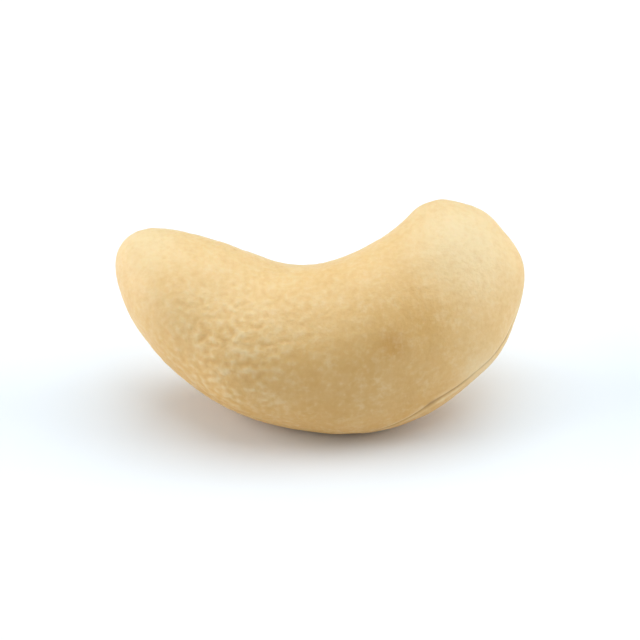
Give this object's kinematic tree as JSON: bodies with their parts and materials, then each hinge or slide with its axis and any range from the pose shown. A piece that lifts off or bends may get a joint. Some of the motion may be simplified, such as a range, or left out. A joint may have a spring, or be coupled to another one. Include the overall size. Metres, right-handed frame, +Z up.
{
  "type": "cashew kernel",
  "caption": "Whole shelled cashew kernel: a plump crescent with a slim tip, a blunt end and a suture line round its edge, leaning back on a small flat spot.",
  "frame": {"origin": "on the surface that the kernel rests on, under the middle of its box", "axes": "+X along the chord of the crescent, from the slim tip to the blunt end; +Y the way the hollow faces; +Z up"},
  "size_m": [0.0232, 0.0114, 0.0113],
  "materials": {
    "kernel_skin": "satin"
  },
  "bodies": {
    "root": {"kernel": "kernel_skin"}
  },
  "joints": []
}
